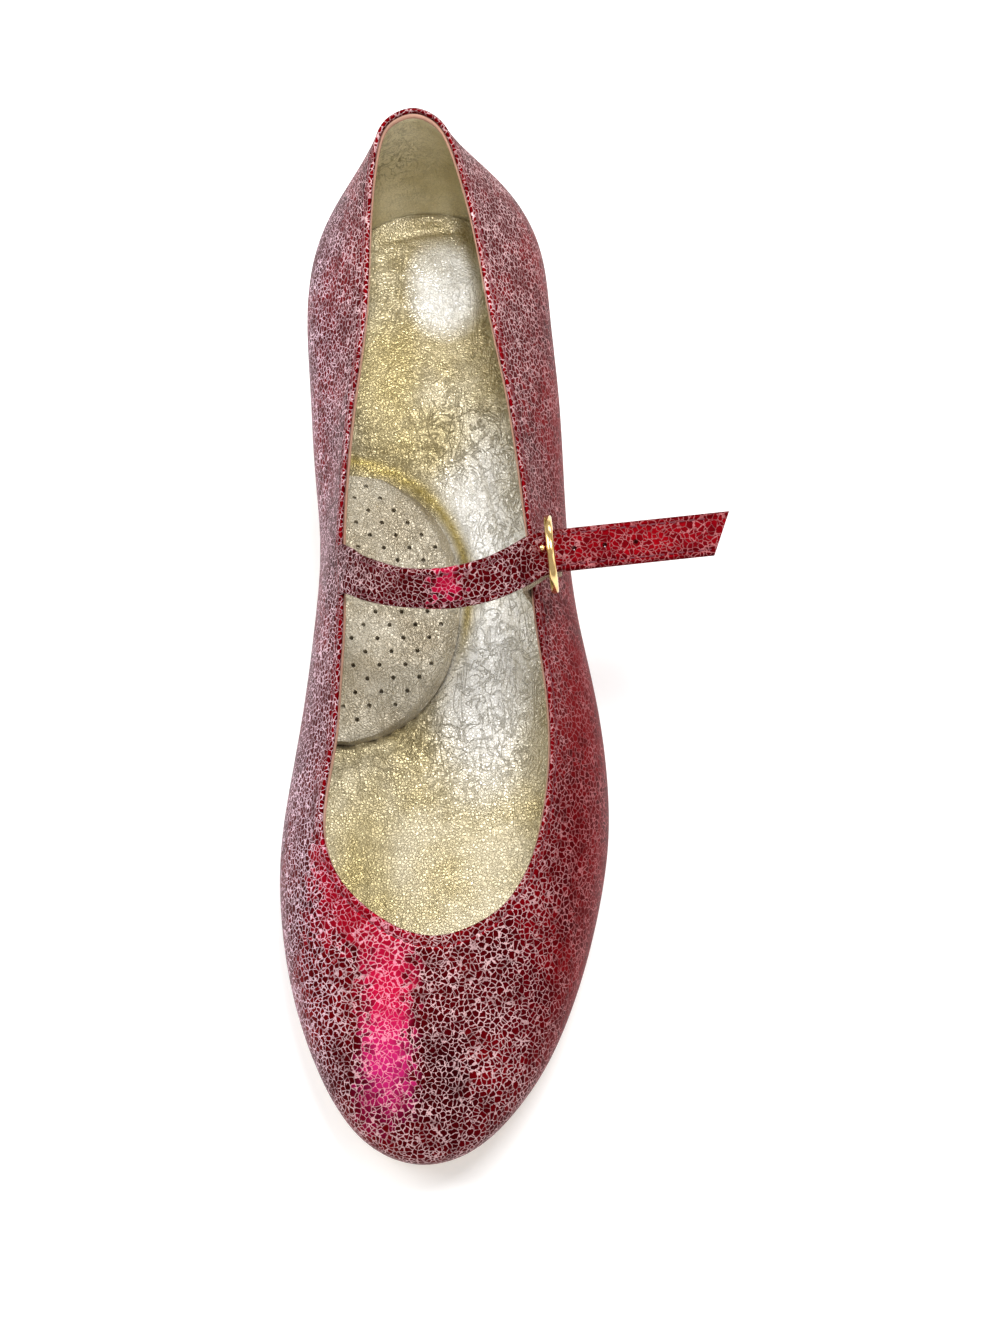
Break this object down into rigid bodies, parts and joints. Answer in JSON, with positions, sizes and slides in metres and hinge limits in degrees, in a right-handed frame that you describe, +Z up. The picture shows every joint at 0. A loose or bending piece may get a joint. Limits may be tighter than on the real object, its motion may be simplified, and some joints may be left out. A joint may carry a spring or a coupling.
{
  "type": "mary jane pump",
  "caption": "Low-heeled mary jane pump in crackled metallic leather, with a deep almond toe, an instep strap through a round buckle, and a gold leather lining and footbed",
  "frame": {"origin": "centre of the heel's walking face, on the floor", "axes": "+Z up, the toe points along -Y, +X is the outer side with the buckle"},
  "size_m": [0.1054, 0.2503, 0.0868],
  "materials": {
    "crackle_leather": "crackled metallic foil in dark red with pale pink cracks",
    "gold_lining": "fine-grained pale gold metallic leather",
    "pad_leather": "perforated champagne metallic leather",
    "sole_leather": "smooth tan sole leather",
    "heel_rubber": "matt black rubber",
    "gold_metal": "polished gold plate",
    "elastic_tape": "ribbed beige elastic"
  },
  "bodies": {
    "root": {"upper": "crackle_leather", "outsole": "sole_leather", "insole": "gold_lining", "arch_pad": "pad_leather", "heel_block": "crackle_leather", "top_piece": "heel_rubber", "strap": "crackle_leather", "buckle_frame": "gold_metal", "buckle_prong": "gold_metal", "elastic_tape": "elastic_tape"}
  },
  "joints": []
}
